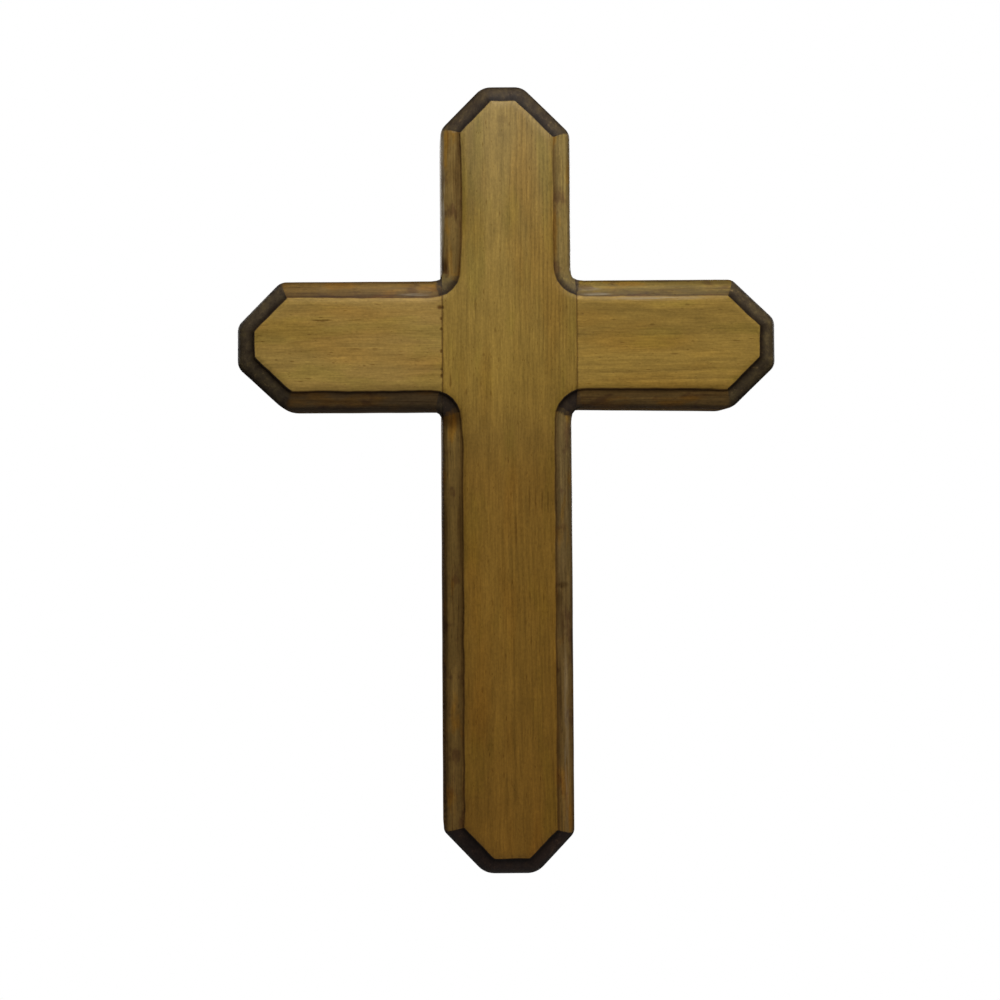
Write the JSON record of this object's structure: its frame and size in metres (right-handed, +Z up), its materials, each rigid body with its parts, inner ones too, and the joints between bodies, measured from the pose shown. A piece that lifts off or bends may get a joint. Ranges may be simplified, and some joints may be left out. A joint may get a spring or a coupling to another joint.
{
  "type": "wooden wall cross",
  "caption": "Plain wooden wall cross of two halved boards with sawn-off corners and a stepped moulding routed round its front edge.",
  "frame": {"origin": "middle of the crossing of the two boards, on the flat back that lies against the wall", "axes": "+Z up along the upright to the head, +X to the right of someone facing the cross, +Y out of the back into the wall, the decorated face towards -Y"},
  "size_m": [0.2622, 0.019, 0.3835],
  "materials": {
    "upright_wood": "stained and varnished pine, satin",
    "crossbar_wood": "stained and varnished pine, satin"
  },
  "bodies": {
    "root": {"upright": "upright_wood", "crossbar": "crossbar_wood"}
  },
  "joints": []
}
